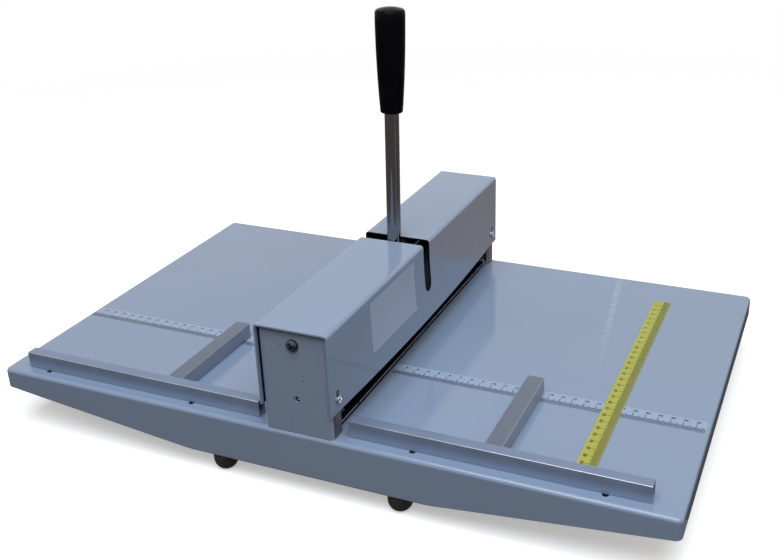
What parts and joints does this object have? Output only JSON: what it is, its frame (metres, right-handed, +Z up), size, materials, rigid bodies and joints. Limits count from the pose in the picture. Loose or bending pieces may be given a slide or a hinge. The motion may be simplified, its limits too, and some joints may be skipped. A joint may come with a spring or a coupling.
{
  "type": "desktop paper creasing machine",
  "caption": "Hand-lever tabletop paper creaser: folded steel table with fences, sliding stops and scales, and a slotted bridge cover over a cam-driven creasing beam",
  "frame": {"origin": "on the surface that the machine stands on, below the middle of the table, where the crease line crosses the table's middle", "axes": "+X runs along the table to the right of the operator's lever, +Y runs along the crease away from the fences to the rear, +Z is up"},
  "size_m": [0.595, 0.3796, 0.3543],
  "materials": {
    "blue_grey_paint": "smooth glossy blue-grey enamel on folded steel sheet",
    "dark_grey_paint": "semi-matt dark grey paint",
    "black_steel": "blackened steel with a low sheen",
    "ground_steel": "ground bright steel",
    "zinc_steel": "zinc-plated steel fasteners",
    "chrome": "polished chrome plate",
    "bronze": "sintered bearing bronze",
    "magnet_nickel": "nickel-plated magnet discs",
    "aluminium": "satin anodised aluminium",
    "black_rubber": "black moulded rubber",
    "black_plastic": "glossy black moulded plastic",
    "white_vinyl": "white self-adhesive scale with black graduations",
    "yellow_tape": "yellow scale with black graduations"
  },
  "bodies": {
    "frame": {"table_tray": "blue_grey_paint", "press_channel": "dark_grey_paint", "foot_front_left": "black_rubber", "foot_front_right": "black_rubber", "foot_rear_left": "black_rubber", "foot_rear_right": "black_rubber", "foot_studs": "zinc_steel", "foot_nuts": "zinc_steel", "bed_plate": "black_steel", "bed_screws": "zinc_steel", "matrix_strip": "ground_steel", "matrix_screws": "zinc_steel", "front_cheek": "blue_grey_paint", "rear_cheek": "blue_grey_paint", "cheek_bolts": "zinc_steel", "front_post": "ground_steel", "rear_post": "ground_steel", "frame_nuts": "zinc_steel", "front_return_spring": "ground_steel", "rear_return_spring": "ground_steel", "front_bush": "bronze", "rear_bush": "bronze", "cover": "blue_grey_paint", "cover_screws": "zinc_steel", "left_fence": "aluminium", "right_fence": "aluminium", "fence_screws": "zinc_steel", "fence_washers": "zinc_steel", "left_scale": "white_vinyl", "right_scale": "white_vinyl", "cross_scale": "yellow_tape"},
    "lever": {"main_shaft": "ground_steel", "shaft_end_screws": "zinc_steel", "handle_boss": "ground_steel", "grub_screws": "black_steel", "handle_rod": "chrome", "handle_grip": "black_plastic", "front_cam": "ground_steel", "rear_cam": "ground_steel"},
    "beam": {"blade_beam": "black_steel", "front_pad": "ground_steel", "rear_pad": "ground_steel", "creasing_blade": "ground_steel", "clamp_bar": "black_steel", "clamp_screws": "zinc_steel"},
    "left_stop_slide": {"left_stop": "aluminium", "left_stop_magnets": "magnet_nickel"},
    "right_stop_slide": {"right_stop": "aluminium", "right_stop_magnets": "magnet_nickel"}
  },
  "joints": [
    {"name": "lever_swing", "type": "hinge", "parent": "frame", "child": "lever", "pos_m": [0, 0, 0.1353], "axis": [0, 1, 0], "range_deg": [0, 100]},
    {"name": "beam_press", "type": "slide", "parent": "frame", "child": "beam", "axis": [0, 0, 1], "range_m": [-0.0082, 0], "stiffness_N_per_m": 9800, "springref_m": 0.006, "deforming": ["front_return_spring", "rear_return_spring"]},
    {"name": "left_stop_travel", "type": "slide", "parent": "frame", "child": "left_stop_slide", "axis": [1, 0, 0], "range_m": [-0.155, 0.095]},
    {"name": "right_stop_travel", "type": "slide", "parent": "frame", "child": "right_stop_slide", "axis": [1, 0, 0], "range_m": [-0.12, 0.0505]}
  ],
  "couplings": [
    {"joint": "beam_press", "follows": "lever_swing", "m_per_rad": -0.004698}
  ]
}
